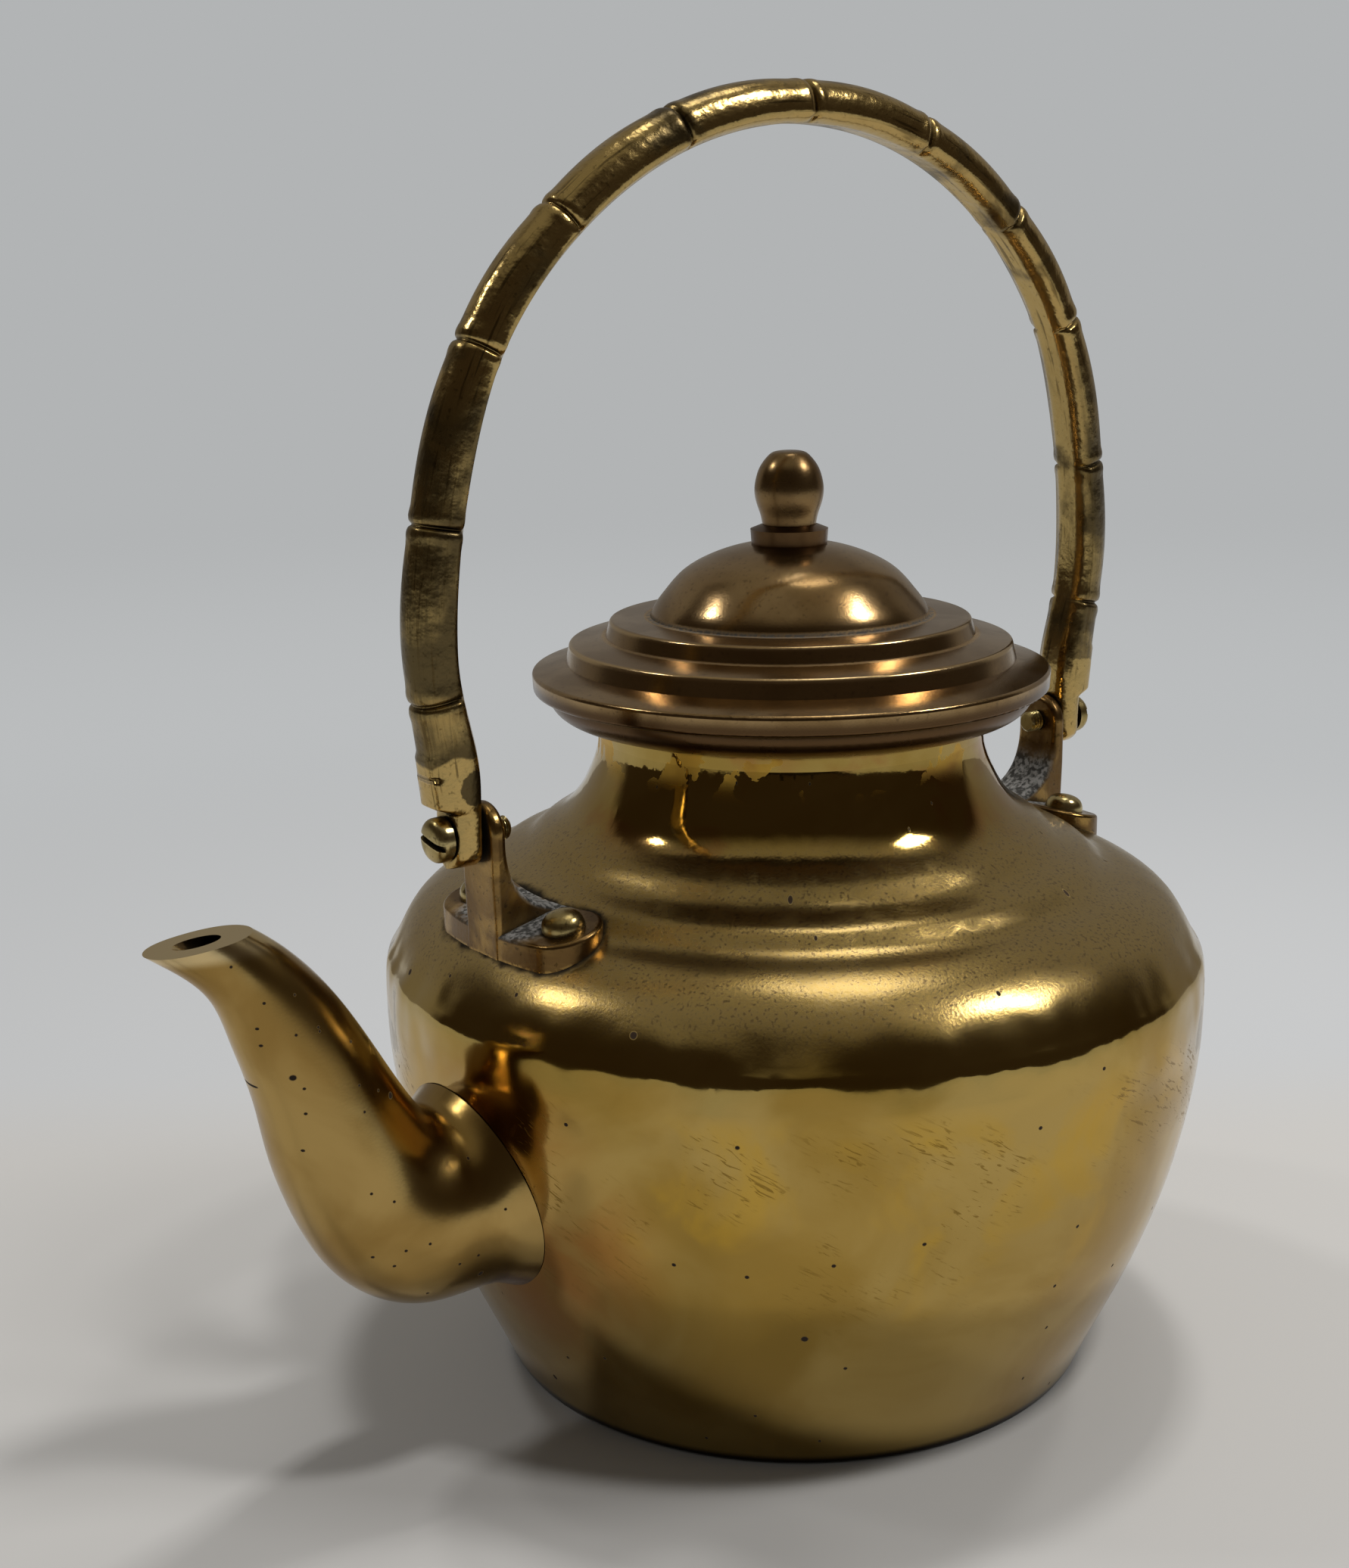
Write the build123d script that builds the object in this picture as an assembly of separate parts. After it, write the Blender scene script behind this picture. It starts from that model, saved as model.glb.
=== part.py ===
"""Cast and turned brass teapot with a bamboo-form bail handle.

Millimetres, +Z up. The origin is on the pot's axis at the underside of its foot.
The spout points along -X, and the bail swings about an axis parallel to X.
"""
import os
from math import atan2, cos, degrees, hypot, pi, radians, sin, sqrt

from build123d import *

# Body
body_wall = 1.3
neck_radius = 35.2
neck_top = 124.6
widest_radius = 75.8
widest_height = 68.0
foot_radius = 55.6
# Reach from the neck and height down the stepped shoulder, to the widest place. The
# measured shape reaches 40.6 and is stretched to the reach that this pot has.
shoulder_stretch = (widest_radius - neck_radius) / 40.6
shoulder_outline = [
    (neck_radius + reach * shoulder_stretch, height)
    for reach, height in [
        (0.0, 117.0),
        (1.4, 111.0),
        (4.0, 106.0),
        (7.4, 102.5),
        (11.0, 100.1),
        (13.4, 98.0),
        (16.2, 96.6),
        (19.6, 95.0),
        (22.0, 92.9),
        (26.4, 91.1),
        (31.6, 88.6),
        (35.6, 85.0),
        (39.0, 79.0),
        (40.6, widest_height),
    ]
]
# Radius and height down the wall, between the widest place and the foot
wall_outline = [
    (widest_radius, widest_height),
    (widest_radius - 1.7, 51.0),
    (widest_radius - 5.5, 35.3),
    (foot_radius + 9.1, 20.2),
    (foot_radius, 0.0),
]
foot_edge_round = 0.5
base_plate_thickness = 1.5

# Mouth ring and lid
ring_outer_radius = 44.2
ring_bottom = 119.6
lid_seat = 125.4
brim_radius = 47.0
brim_top = 128.9
outer_step_radius = 40.4
outer_step_top = 133.8
inner_step_radius = 33.2
inner_step_top = 137.9
dome_radius = 25.3
dome_foot = 138.3
dome_top = 151.5
# Radius and height down the dome, from its middle to its foot
dome_outline = [
    (0.0, dome_top),
    (8.5, dome_top - 0.7),
    (15.5, dome_top - 3.0),
    (19.8, dome_top - 5.7),
    (22.9, dome_top - 9.2),
    (dome_radius, dome_foot),
]
lid_wall = 1.8
lid_edge_round = 0.7
flange_clearance = 0.4
flange_wall = 1.2
flange_lip = 1.2
flange_lip_radius = 38.6
flange_depth = 8.4

# Knob
stud_radius = 2.0
collar_radius = 7.0
dome_flat_depth = 0.5
collar_edge_height = 2.7
collar_height = 3.5
knob_neck_radius = 4.8
knob_height = 13.1
# Radius and height above the collar up the acorn, between its neck and its top
knob_outline = [(5.1, 1.5), (5.75, 3.5), (6.2, 5.9), (5.9, 8.3), (5.1, 10.4), (3.8, 12.1)]
knob_nut_width = 7.0
knob_nut_height = 3.2
knob_washer_radius = 5.0
knob_washer_thickness = 1.0

# Spout: upper and lower outline in the plane of symmetry, tip first (x, z, x, z)
spout_outline = [
    (-123.5, 110.2, -129.6, 103.0),
    (-117.0, 105.3, -123.6, 97.3),
    (-106.0, 98.5, -116.1, 89.0),
    (-98.2, 90.3, -113.5, 81.7),
    (-90.9, 79.0, -110.2, 70.7),
    (-85.3, 69.3, -107.9, 59.6),
    (-82.2, 64.8, -104.2, 48.8),
    (-80.6, 63.4, -97.0, 37.0),
    (-79.2, 63.4, -87.0, 31.0),
    (-77.6, 64.2, -77.5, 30.4),
    (-75.5, 66.0, -71.5, 30.0),
    (-71.0, 68.6, -64.0, 27.8),
]
spout_root_wall = 2.0
spout_tip_wall = 3.1
spout_tip_height = 100.7
spout_tip_slope = 4.0
solder_gap = 0.1
strainer_hole_radius = 2.1
strainer_pitch = 6.4
strainer_height = 46.0

# Lugs: arched plate on the shoulder with an upright post
lug_mid_radius = neck_radius + 26.0 * shoulder_stretch
lug_width = 13.2
lug_rivet_y = 12.8
lug_top_height = 94.0
lug_top_slope = 13.5
lug_blank_depth = 14.0
lug_edge_round = 0.7
post_outer_x = lug_mid_radius + 6.9
post_thickness = 2.8
post_head_radius = 5.2
post_edge_round = 1.1
post_foot_depth = 12.4

# Rivets and their inside burrs
rivet_radius = 1.7
rivet_head_radius = 3.7
rivet_head_height = 3.0
rivet_tail_radius = 2.6
rivet_tail_height = 1.1
burr_radius = 3.6
burr_thickness = 1.0

# Pivot screws
pivot_height = 109.1
pivot_radius = 2.0
pivot_running_clearance = 0.08
side_gap = 0.3
screw_head_radius = 3.8
screw_head_height = 3.0
screw_slot_width = 1.1
screw_slot_depth = 1.2
screw_end_x = post_outer_x - 5.9
thread_pitch = 0.8
thread_depth = 0.45

# Bail: x and z of each joint on the inner face, then the depth beside it
leg_inner_x = post_outer_x + side_gap
bail_joints = [
    (leg_inner_x + 2.9, pivot_height + 24.4, 8.2),
    (leg_inner_x + 2.2, pivot_height + 50.8, 8.0),
    (leg_inner_x - 5.8, pivot_height + 77.2, 7.3),
    (leg_inner_x - 20.8, pivot_height + 95.8, 7.1),
    (leg_inner_x - 42.6, pivot_height + 109.2, 7.3),
    (0.0, pivot_height + 114.0, 7.3),
]
bail_width = 9.0
bail_swell = 0.5
bail_crown = 1.5
bail_bevel_width = 2.2
bail_bevel_depth = 1.4
groove_side_depth = 0.9
groove_crest_depth = 0.4
groove_half_width = 0.7
leg_foot_radius = 5.2
# Height and depth of the leg below its lowest joint
leg_sections = [
    (pivot_height + 16.9, 9.4),
    (pivot_height + 9.9, 9.4),
    (pivot_height + 3.9, 8.1),
    (pivot_height, 7.1),
    (pivot_height - 6.1, 5.6),
]
leg_recess_x = leg_inner_x + 5.6
leg_recess_radius = 4.5
# The handle does not stand quite upright: it leans towards -Y
bail_lean = 1.7


def turned(*edges):
    """Solid of revolution about the pot's axis from a closed outline in the XZ plane."""
    return revolve(make_face(edges), Axis.Z, 360)


def inward(outline, depth):
    """The same outline moved into the metal by the wall thickness."""
    moved = []
    last = len(outline) - 1
    for i, (r, z) in enumerate(outline):
        before = outline[max(i - 1, 0)]
        after = outline[min(i + 1, last)]
        dr = after[0] - before[0]
        dz = after[1] - before[1]
        length = hypot(dr, dz)
        moved.append((r + depth * dz / length, z - depth * dr / length))
    return moved


def curve(points, **options):
    return Spline(*[(r, 0, z) for r, z in points], **options)


def line(*points):
    return Polyline(*[(r, 0, z) for r, z in points])


def pot_form(depth, top, bottom):
    """Solid inside the pot's outline, moved into the metal by a depth."""
    shoulder = inward(shoulder_outline, depth)
    wall = inward(wall_outline, depth)
    shoulder[0] = (neck_radius - depth, shoulder_outline[0][1])
    shoulder[-1] = (widest_radius - depth, widest_height)
    wall[0] = shoulder[-1]
    wall[-1] = (foot_radius - depth, bottom)
    return turned(
        line((0, bottom), (0, top), (neck_radius - depth, top), shoulder[0]),
        curve(shoulder, tangents=((0, 0, -1), (0, 0, -1))),
        curve(wall, tangents=((0, 0, -1), (-0.42, 0, -1))),
        line(wall[-1], (0, bottom)),
    )


# Body shell
body_solid = pot_form(0, neck_top, 0)
body_cavity = pot_form(body_wall, neck_top + 1, -1)
inner_radius = neck_radius - body_wall
foot_edge = body_solid.edges().filter_by(GeomType.CIRCLE).sort_by(Axis.Z)[0]
body_solid = fillet(foot_edge, foot_edge_round)
body_shell = body_solid - body_cavity

# Holes through the wall behind the spout
for row in range(-2, 3):
    count = 5 - abs(row)
    for k in range(count):
        y = (k - (count - 1) / 2) * strainer_pitch
        z = strainer_height + row * strainer_pitch * 0.87
        hole = Cylinder(strainer_hole_radius, 12 * body_wall, rotation=(0, 90, 0))
        body_shell -= Pos(4 - widest_radius, y, z) * hole

# Base plate let into the foot, flush with its edge
slab = Cylinder(
    foot_radius + 5,
    base_plate_thickness,
    align=(Align.CENTER, Align.CENTER, Align.MIN),
)
base_plate = slab & body_cavity

# Mouth ring
ring_face = [
    line(
        (neck_radius, ring_bottom),
        (neck_radius, lid_seat),
        (ring_outer_radius - 0.3, lid_seat),
    ),
    Spline(
        (ring_outer_radius - 0.3, 0, lid_seat),
        (ring_outer_radius - 0.4, 0, 123.4),
        (42.6, 0, 121.8),
        (39.6, 0, 120.4),
        (neck_radius, 0, ring_bottom),
    ),
]
mouth_ring = turned(*ring_face)

# Lid cap
dome_inside = inward(dome_outline, lid_wall)
dome_inside[0] = (0, dome_top - lid_wall)
dome_inside[-1] = (dome_radius - lid_wall, dome_foot - lid_wall)
cap_outside = [
    curve(dome_outline, tangents=((1, 0, 0), (0.35, 0, -1))),
    line(
        (dome_radius, dome_foot),
        (inner_step_radius - 0.6, inner_step_top),
        (inner_step_radius + 0.3, 135.0),
        (outer_step_radius - 0.3, outer_step_top),
        (outer_step_radius + 0.4, 130.5),
        (brim_radius, brim_top),
        (brim_radius - 0.2, lid_seat),
        (flange_lip_radius, lid_seat),
        (flange_lip_radius, lid_seat + flange_lip),
        (outer_step_radius - 3.2, lid_seat + flange_lip),
        (outer_step_radius - 3.2, outer_step_top - lid_wall),
        (inner_step_radius - lid_wall, outer_step_top + 1.4 - lid_wall),
        (inner_step_radius - 2.6, inner_step_top - lid_wall),
        (dome_radius - lid_wall, dome_foot - lid_wall),
    ),
    curve(dome_inside[::-1], tangents=((-0.35, 0, 1), (-1, 0, 0))),
    line((0, dome_top - lid_wall), (0, dome_top)),
]
lid_cap = turned(*cap_outside)
step_edges = [
    edge
    for edge in lid_cap.edges().filter_by(GeomType.CIRCLE)
    if any(
        abs(edge.radius - r) < 0.05 and abs(edge.center().Z - z) < 0.05
        for r, z in (
            (inner_step_radius - 0.6, inner_step_top),
            (outer_step_radius - 0.3, outer_step_top),
            (brim_radius, brim_top),
            (brim_radius - 0.2, lid_seat),
        )
    )
]
lid_cap = fillet(step_edges, lid_edge_round)
lid_cap -= Pos(0, 0, dome_top) * Cylinder(stud_radius, 20)
# Flat turned on the dome for the knob's collar
collar_foot = dome_top - dome_flat_depth
lid_cap -= Pos(0, 0, collar_foot) * Cylinder(
    collar_radius + 6, 5, align=(Align.CENTER, Align.CENTER, Align.MIN)
)

# Locating flange soldered under the cap
flange_radius = inner_radius - flange_clearance
lid_flange = turned(
    line(
        (flange_radius, lid_seat - flange_depth),
        (flange_radius, lid_seat),
        (flange_lip_radius, lid_seat),
        (flange_lip_radius, lid_seat + flange_lip),
        (flange_radius - flange_wall, lid_seat + flange_lip),
        (flange_radius - flange_wall, lid_seat - flange_depth),
        (flange_radius, lid_seat - flange_depth),
    )
)

# Knob, its collar, and the washer and nut under the dome
collar_top = collar_foot + collar_height
knob_top = collar_top + knob_height
knob_collar = turned(
    line(
        (stud_radius, collar_foot),
        (collar_radius - 0.2, collar_foot),
        (collar_radius, collar_foot + collar_edge_height),
        (knob_neck_radius + 0.2, collar_top),
        (stud_radius, collar_top),
        (stud_radius, collar_foot),
    )
)
washer_seat = dome_top - lid_wall - 0.2
stud_end = washer_seat - knob_washer_thickness - knob_nut_height - 1.2
lid_knob = turned(
    line(
        (0, knob_top),
        (0, stud_end),
        (stud_radius - 0.4, stud_end),
        (stud_radius, stud_end + 0.4),
        (stud_radius, collar_top),
        (knob_neck_radius, collar_top),
    ),
    Spline(
        (knob_neck_radius, 0, collar_top),
        *[(r, 0, collar_top + rise) for r, rise in knob_outline],
        (0, 0, knob_top),
        tangents=((0.2, 0, 1), (-1, 0, 0)),
    ),
)
under_dome = Pos(0, 0, washer_seat) * Cylinder(
    knob_washer_radius + 0.2, 4, align=(Align.CENTER, Align.CENTER, Align.MAX)
)
lid_cap -= under_dome
knob_washer = Pos(0, 0, washer_seat - knob_washer_thickness) * (
    Cylinder(
        knob_washer_radius,
        knob_washer_thickness,
        align=(Align.CENTER, Align.CENTER, Align.MIN),
    )
    - Cylinder(stud_radius, 10)
)
nut_top = washer_seat - knob_washer_thickness
knob_nut = extrude(
    Plane.XY.offset(nut_top - knob_nut_height)
    * RegularPolygon(knob_nut_width / 2, 6, major_radius=False),
    knob_nut_height,
)
knob_nut -= Pos(0, 0, nut_top) * Cylinder(stud_radius, 20)

# Spout
def spout_tube(wall_root, wall_tip):
    """Loft of round sections between the upper and lower outline, less a wall."""
    sections = []
    last = len(spout_outline) - 1
    for i, (xu, zu, xl, zl) in enumerate(spout_outline):
        wall = wall_tip + (wall_root - wall_tip) * i / last
        across = Vector(xu - xl, 0, zu - zl)
        centre = ((xu + xl) / 2, 0, (zu + zl) / 2)
        plane = Plane(origin=centre, x_dir=across, z_dir=across.cross(Vector(0, 1, 0)))
        sections.append(plane * Circle(across.length / 2 - wall))
    return loft(sections)


spout = spout_tube(0, 0) - pot_form(-solder_gap, neck_top, 0)
spout -= spout_tube(spout_root_wall, spout_tip_wall)
spout_cut = Pos(-118, 0, spout_tip_height) * Box(
    60, 60, 40, rotation=(0, -spout_tip_slope, 0), align=(Align.CENTER, Align.CENTER, Align.MIN)
)
spout -= spout_cut
spout = spout.solids().sort_by(SortBy.VOLUME)[-1]

# Lug, built at +X and turned round for the other side
lug_arc_half_angle = degrees(atan2(lug_rivet_y, sqrt(lug_mid_radius**2 - lug_rivet_y**2)))
plate_arc = CenterArc((0, 0), lug_mid_radius, -lug_arc_half_angle, 2 * lug_arc_half_angle)
lug_bottom = lug_top_height - lug_blank_depth
plate = Pos(0, 0, lug_bottom) * extrude(SlotArc(plate_arc, lug_width), 2 * lug_blank_depth)
rivet_x = lug_mid_radius * cos(radians(lug_arc_half_angle))
top_place = Pos(rivet_x, 0, lug_top_height) * Rot(0, lug_top_slope, 0)
plate -= top_place * Box(80, 80, 40, align=(Align.CENTER, Align.CENTER, Align.MIN))
plate = fillet(plate.faces().sort_by(Axis.Z)[-1].edges(), lug_edge_round)

post_inner_x = post_outer_x - post_thickness
flare_start = (post_inner_x, 0, pivot_height - 1.6)
post_foot_x = post_outer_x - post_foot_depth
flare_end = (post_foot_x, 0, lug_top_height + 1.2)
post_side = make_face(
    [
        line(
            (post_foot_x, lug_top_height + 1.2),
            (post_foot_x, lug_top_height - 9.0),
            (lug_mid_radius + lug_width / 2, lug_top_height - 9.0),
            (lug_mid_radius + lug_width / 2, lug_top_height - 1.0),
            (post_outer_x, lug_top_height + 7.0),
            (post_outer_x, pivot_height + 1.5 * post_head_radius),
            (post_inner_x, pivot_height + 1.5 * post_head_radius),
            (post_inner_x, pivot_height - 1.6),
        ),
        Spline(flare_start, flare_end, tangents=((0, 0, -1), (-1, 0, -0.2))),
    ]
)
post_place = Pos(post_outer_x, 0, pivot_height)
post_length = 3 * post_foot_depth
post_front = post_place * Cylinder(post_head_radius, post_length, rotation=(0, 90, 0))
post_front += post_place * Box(
    post_length,
    2 * post_head_radius,
    pivot_height - lug_bottom,
    align=(Align.CENTER, Align.CENTER, Align.MAX),
)
post = extrude(post_side, 15, both=True) & post_front
post_rim = [
    edge
    for edge in post.edges()
    if edge.center().Z > lug_top_height + 2.5 and abs(edge.tangent_at(0.3).Y) < 0.9
]
post = fillet(post_rim, post_edge_round)
lug = plate + post - body_solid
lug -= post_place * Cylinder(pivot_radius, post_length, rotation=(0, 90, 0))

# Rivets with a round head outside and a burr and peened tail inside
shank_length = 6.1
rivet_profile = make_face(
    [
        Polyline(
            (0, 0, rivet_head_height),
            (0, 0, -shank_length - rivet_tail_height),
            (rivet_tail_radius - 1.0, 0, -shank_length - rivet_tail_height),
            (rivet_tail_radius, 0, -shank_length),
            (rivet_radius, 0, -shank_length),
            (rivet_radius, 0, 0),
            (rivet_head_radius, 0, 0),
        ),
        Spline(
            (rivet_head_radius, 0, 0),
            (0, 0, rivet_head_height),
            tangents=((0, 0, 1), (-1, 0, 0)),
        ),
    ]
)
rivet = revolve(rivet_profile, Axis.Z, 360)
burr_blank = Cylinder(
    burr_radius, shank_length, align=(Align.CENTER, Align.CENTER, Align.MAX)
) - Cylinder(rivet_radius, 30)
shank = Cylinder(rivet_radius, 30)
rivets = []
burrs = []
for side in (0, 180):
    for y in (-lug_rivet_y, lug_rivet_y):
        place = Rot(0, 0, side) * Pos(0, y, 0) * top_place
        rivets.append(place * rivet)
        burrs.append((place * burr_blank) & body_cavity)
        body_shell -= place * shank
for y in (-lug_rivet_y, lug_rivet_y):
    lug -= Pos(0, y, 0) * top_place * shank
lug_far_side = lug
lug_spout_side = Rot(0, 0, 180) * lug

# Pivot screws: slotted head outside the leg, thread through the post
head_seat = leg_recess_x + side_gap
head_face = head_seat + screw_head_height
thread_start = screw_end_x + 0.4
thread_turns = int((post_outer_x - thread_start) / thread_pitch)
screw_points = [(screw_end_x, 0), (screw_end_x, pivot_radius - 0.4), (thread_start, pivot_radius)]
for turn in range(thread_turns):
    x = thread_start + turn * thread_pitch
    screw_points.append((x + 0.5 * thread_pitch, pivot_radius - thread_depth))
    screw_points.append((x + 0.9 * thread_pitch, pivot_radius))
    screw_points.append((x + thread_pitch, pivot_radius))
screw_points += [
    (head_seat, pivot_radius),
    (head_seat, screw_head_radius),
    (head_seat + 1.2, screw_head_radius),
]
screw_profile = make_face(
    [
        Polyline(*[(x, 0, r) for x, r in screw_points]),
        Spline(
            (head_seat + 1.2, 0, screw_head_radius),
            (head_face, 0, 0),
            tangents=((1, 0, 0), (0, 0, -1)),
        ),
        Line((head_face, 0, 0), (screw_end_x, 0, 0)),
    ]
)
screw = revolve(screw_profile, Axis.X, 360)
screw -= Pos(head_face, 0, 0) * Box(
    2 * screw_slot_depth, 20, screw_slot_width, rotation=(-12, 0, 0)
)
screw = Pos(0, 0, pivot_height) * screw
pivot_screws = [screw, Rot(0, 0, 180) * screw]

# Bail: one half is lofted joint by joint along its inner face, then mirrored
inner_face = Spline(
    (leg_inner_x, 0, pivot_height - 9.1),
    (leg_inner_x, 0, pivot_height - 2.1),
    (leg_inner_x, 0, pivot_height + 3.9),
    (leg_inner_x + 0.3, 0, pivot_height + 10.4),
    *[(x, 0, z) for x, z, depth in bail_joints],
    *[(-x, 0, z) for x, z, depth in reversed(bail_joints[2:-1])],
    tangents=((0, 0, 1), (-0.45, 0, -1)),
)


def bail_section(along, width, depth):
    """Section of the bail square to its inner face: flat inside, crowned outside."""
    point = inner_face.position_at(along)
    tangent = inner_face.tangent_at(along)
    plane = Plane(origin=point, x_dir=Vector(0, 1, 0).cross(tangent), z_dir=tangent)
    half = width / 2
    side = depth - bail_crown
    outline = [
        Polyline(
            (side, -half),
            (bail_bevel_depth, -half),
            (0, bail_bevel_width - half),
            (0, half - bail_bevel_width),
            (bail_bevel_depth, half),
            (side, half),
        ),
        ThreePointArc((side, half), (depth, 0), (side, -half)),
    ]
    return plane * make_face(outline)


def along_at_height(z):
    """Place on the leg's inner face at a height."""
    low = 0.0
    high = 0.3
    for _ in range(40):
        middle = (low + high) / 2
        if inner_face.position_at(middle).Z < z:
            low = middle
        else:
            high = middle
    return low


path_length = inner_face.length
joint_along = [
    inner_face.param_at_point((x, 0, z)) for x, z, depth in bail_joints
]
edge_step = groove_half_width / path_length
groove = (bail_width - 2 * groove_side_depth, groove_crest_depth)
half_bail = []
for i in range(len(bail_joints) - 1):
    a = joint_along[i]
    b = joint_along[i + 1]
    depth_a = bail_joints[i][2]
    depth_b = bail_joints[i + 1][2]
    barrel = []
    for k in range(5):
        share = k / 4
        swell = sin(pi * share)
        depth = depth_a + (depth_b - depth_a) * share + bail_swell * swell
        along = a + edge_step + (b - a - 2 * edge_step) * share
        barrel.append(bail_section(along, bail_width + 0.5 * swell, depth))
    half_bail.append(loft(barrel))
    for at, edge, depth in ((a, barrel[0], depth_a), (b, barrel[-1], depth_b)):
        bottom = bail_section(at, groove[0], depth - groove[1])
        half_bail.append(loft([bottom, edge], ruled=True))

first_depth = bail_joints[0][2]
leg = [bail_section(joint_along[0] - edge_step, bail_width, first_depth)]
leg += [bail_section(along_at_height(z), bail_width, depth) for z, depth in leg_sections]
half_bail.append(loft(leg))
bottom = bail_section(joint_along[0], groove[0], first_depth - groove[1])
half_bail.append(loft([bottom, leg[0]], ruled=True))

half = half_bail[0]
for piece in half_bail[1:]:
    half += piece
below_pivot = Pos(leg_inner_x, 0, pivot_height) * Box(
    40, 30, 30, align=(Align.CENTER, Align.CENTER, Align.MAX)
)
half -= below_pivot - Pos(leg_inner_x, 0, pivot_height) * Cylinder(
    leg_foot_radius, 60, rotation=(0, 90, 0)
)
half -= Pos(leg_recess_x, 0, pivot_height) * Cylinder(
    leg_recess_radius, 20, rotation=(0, 90, 0), align=(Align.CENTER, Align.CENTER, Align.MIN)
)
half -= Pos(leg_inner_x, 0, pivot_height) * Cylinder(
    pivot_radius + pivot_running_clearance, 40, rotation=(0, 90, 0)
)
bail_handle = half + mirror(half, Plane.YZ)
pivot_axis = Axis((0, 0, pivot_height), (1, 0, 0))
bail_handle = bail_handle.rotate(pivot_axis, bail_lean)

pieces = {
    "body_shell": body_shell,
    "base_plate": base_plate,
    "mouth_ring": mouth_ring,
    "spout": spout,
    "lug_spout_side": lug_spout_side,
    "lug_far_side": lug_far_side,
    "lug_rivets": Compound(children=rivets),
    "rivet_burrs": Compound(children=burrs),
    "pivot_screws": Compound(children=pivot_screws),
    "bail_handle": bail_handle,
    "lid_cap": lid_cap,
    "lid_flange": lid_flange,
    "lid_knob": lid_knob,
    "knob_collar": knob_collar,
    "knob_washer": knob_washer,
    "knob_nut": knob_nut,
}
os.makedirs("parts", exist_ok=True)
for name, shape in pieces.items():
    export_step(shape, f"parts/{name}.step")
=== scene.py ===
"""Brass teapot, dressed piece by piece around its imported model.

Metres, in the model's own frame: +Z up from the floor, the pot's axis at the origin,
the spout towards -X, and the bail's hinge axis parallel to X.
"""
from math import atan2, cos, pi, radians, sin

import bmesh
import bpy
import numpy as np
from mathutils import Matrix, Vector


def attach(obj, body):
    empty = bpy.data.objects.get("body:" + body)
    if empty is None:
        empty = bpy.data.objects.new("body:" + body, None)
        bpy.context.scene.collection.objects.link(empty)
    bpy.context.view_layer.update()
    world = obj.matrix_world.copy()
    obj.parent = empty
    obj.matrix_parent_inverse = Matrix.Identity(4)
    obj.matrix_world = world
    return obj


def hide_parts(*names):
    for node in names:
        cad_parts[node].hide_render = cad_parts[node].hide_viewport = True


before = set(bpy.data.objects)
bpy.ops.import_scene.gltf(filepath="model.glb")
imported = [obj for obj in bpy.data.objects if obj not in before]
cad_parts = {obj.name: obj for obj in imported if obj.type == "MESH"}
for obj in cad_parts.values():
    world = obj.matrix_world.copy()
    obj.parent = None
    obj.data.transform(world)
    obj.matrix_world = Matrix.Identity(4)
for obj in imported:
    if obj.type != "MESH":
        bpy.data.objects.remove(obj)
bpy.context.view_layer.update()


bpy.context.scene.view_settings.view_transform = "Standard"


# Camera
# A hand-held view of the spout side, a little above the lid, from about 40 cm. The
# lens is that of a picture 2072 pixels high whose focal length is 2800 pixels.
image_height = 2072
focal_pixels = 2800
sensor_height = 36
eye_distance = 0.3919
eye_azimuth = radians(-36.89)
eye_elevation = radians(13.82)
eye_roll = radians(-1.02)
aim_right = -0.02142
aim_height = 0.10675

side = Vector((cos(eye_azimuth), sin(eye_azimuth), 0))
behind = Vector((
    sin(eye_azimuth) * cos(eye_elevation),
    -cos(eye_azimuth) * cos(eye_elevation),
    sin(eye_elevation),
))
upward = side.cross(-behind)
eye = side * aim_right + Vector((0, 0, aim_height)) + behind * eye_distance
rolled_side = side * cos(eye_roll) + upward * sin(eye_roll)
rolled_up = upward * cos(eye_roll) - side * sin(eye_roll)
camera_data = bpy.data.cameras.new("camera")
camera_data.sensor_fit = "VERTICAL"
camera_data.sensor_height = sensor_height
camera_data.lens = focal_pixels / image_height * sensor_height
camera = bpy.data.objects.new("camera", camera_data)
camera.matrix_world = Matrix((
    (rolled_side.x, rolled_up.x, behind.x, eye.x),
    (rolled_side.y, rolled_up.y, behind.y, eye.y),
    (rolled_side.z, rolled_up.z, behind.z, eye.z),
    (0, 0, 0, 1),
))
bpy.context.collection.objects.link(camera)
bpy.context.scene.camera = camera


# Floor and backdrop
# A matt pale grey sheet that the pot stands on. It lies flat and runs into the backdrop without an
# edge. Beyond the pot its grey is painted a little cooler, painted light standing for the light it
# catches there.
floor_half = 1.5
floor_drop = 0.0002
backdrop_colour = "#B2B4B5"
away = Vector((-behind.x, -behind.y, 0)).normalized()

floor_mesh = bpy.data.meshes.new("floor")
floor_mesh.from_pydata(
    [
        (x * floor_half, y * floor_half, -floor_drop)
        for x, y in ((-1, -1), (1, -1), (1, 1), (-1, 1))
    ],
    [],
    [(0, 1, 2, 3)],
)
floor = bpy.data.objects.new("floor", floor_mesh)
bpy.context.collection.objects.link(floor)


def linear(colour):
    """Linear colour of an sRGB hex value."""
    channels = [int(colour[i:i + 2], 16) / 255 for i in (1, 3, 5)]
    return [c / 12.92 if c <= 0.04045 else ((c + 0.055) / 1.055) ** 2.4 for c in channels] + [1]


def add(tree, kind, inputs, out=0, **settings):
    """Add a node with its settings, set or link its inputs, and return one output or all."""
    node = tree.nodes.new("ShaderNode" + kind)
    for name, value in settings.items():
        setattr(node, name, value)
    for key, value in inputs.items():
        if isinstance(value, bpy.types.NodeSocket):
            tree.links.new(value, node.inputs[key])
        else:
            node.inputs[key].default_value = linear(value) if isinstance(value, str) else value
    if out is None:
        return node.outputs
    return node.outputs[out] if node.outputs else None


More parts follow.
